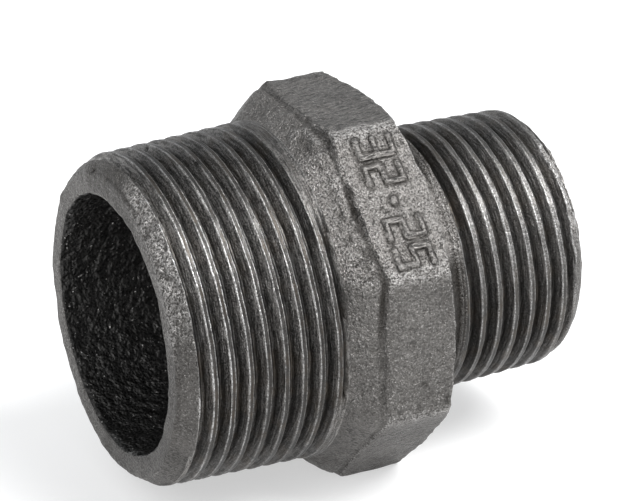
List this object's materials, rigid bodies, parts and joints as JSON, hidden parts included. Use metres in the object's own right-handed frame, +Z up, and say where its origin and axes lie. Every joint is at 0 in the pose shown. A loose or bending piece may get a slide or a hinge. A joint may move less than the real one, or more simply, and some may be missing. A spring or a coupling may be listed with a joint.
{
  "type": "reducing nipple",
  "caption": "Cast iron reducing nipple: an octagonal wrench collar between a large and a small male taper pipe thread, with a passage right through.",
  "frame": {"origin": "on the axis of the passage, half way between the two end faces", "axes": "+X along the axis towards the small end, +Z up, with one flat of the collar facing -Z and one facing +Z"},
  "size_m": [0.057, 0.046, 0.046],
  "materials": {
    "black_iron": "as-cast skin on the collar, machine-cut threads with brighter crests"
  },
  "bodies": {
    "root": {"nipple_body": "black_iron"}
  },
  "joints": []
}
